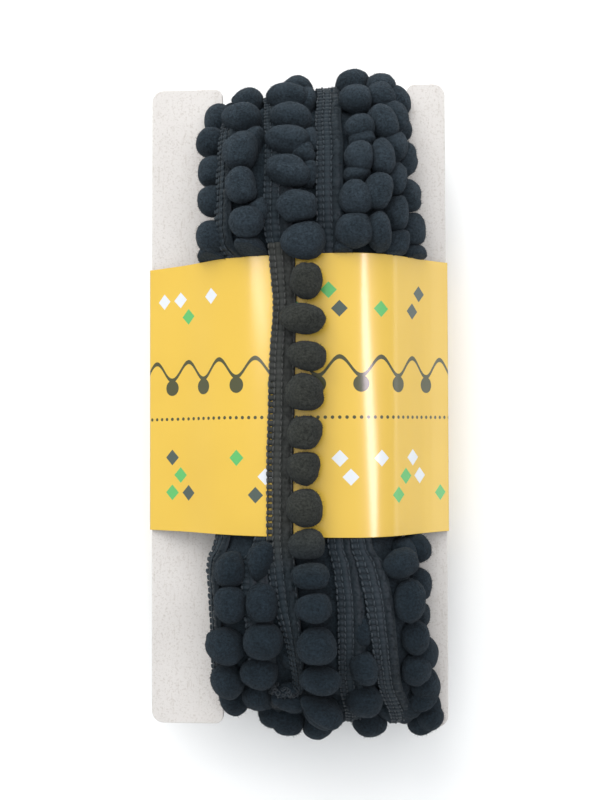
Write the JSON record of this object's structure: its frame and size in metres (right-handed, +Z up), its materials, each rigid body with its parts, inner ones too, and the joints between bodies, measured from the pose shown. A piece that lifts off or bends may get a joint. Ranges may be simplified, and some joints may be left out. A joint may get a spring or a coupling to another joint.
{
  "type": "pompom fringe trim wound on a notched card",
  "caption": "Dark pompom fringe trim wound lengthwise through the notches of a pale board card, held by a yellow paper band, with its free end laid over the band and curled at its tip.",
  "frame": {"origin": "on the underside of the bundle, on the flat of the band that it lies on, at the middle of the card's width and length", "axes": "+X across the card towards the side where the pompoms stand, +Y along the card towards its top end, +Z up, out of the front of the bundle"},
  "size_m": [0.0908, 0.197, 0.0578],
  "materials": {
    "trim_yarn": "felted matt pompoms on a knitted braid, blue-black",
    "board": "uncoated recycled greyboard with fine flecks",
    "band_paper": "glossy coated paper, warm yellow"
  },
  "bodies": {
    "root": {"winding": "trim_yarn", "free_end": "trim_yarn", "card": "board", "band": "band_paper"}
  },
  "joints": []
}
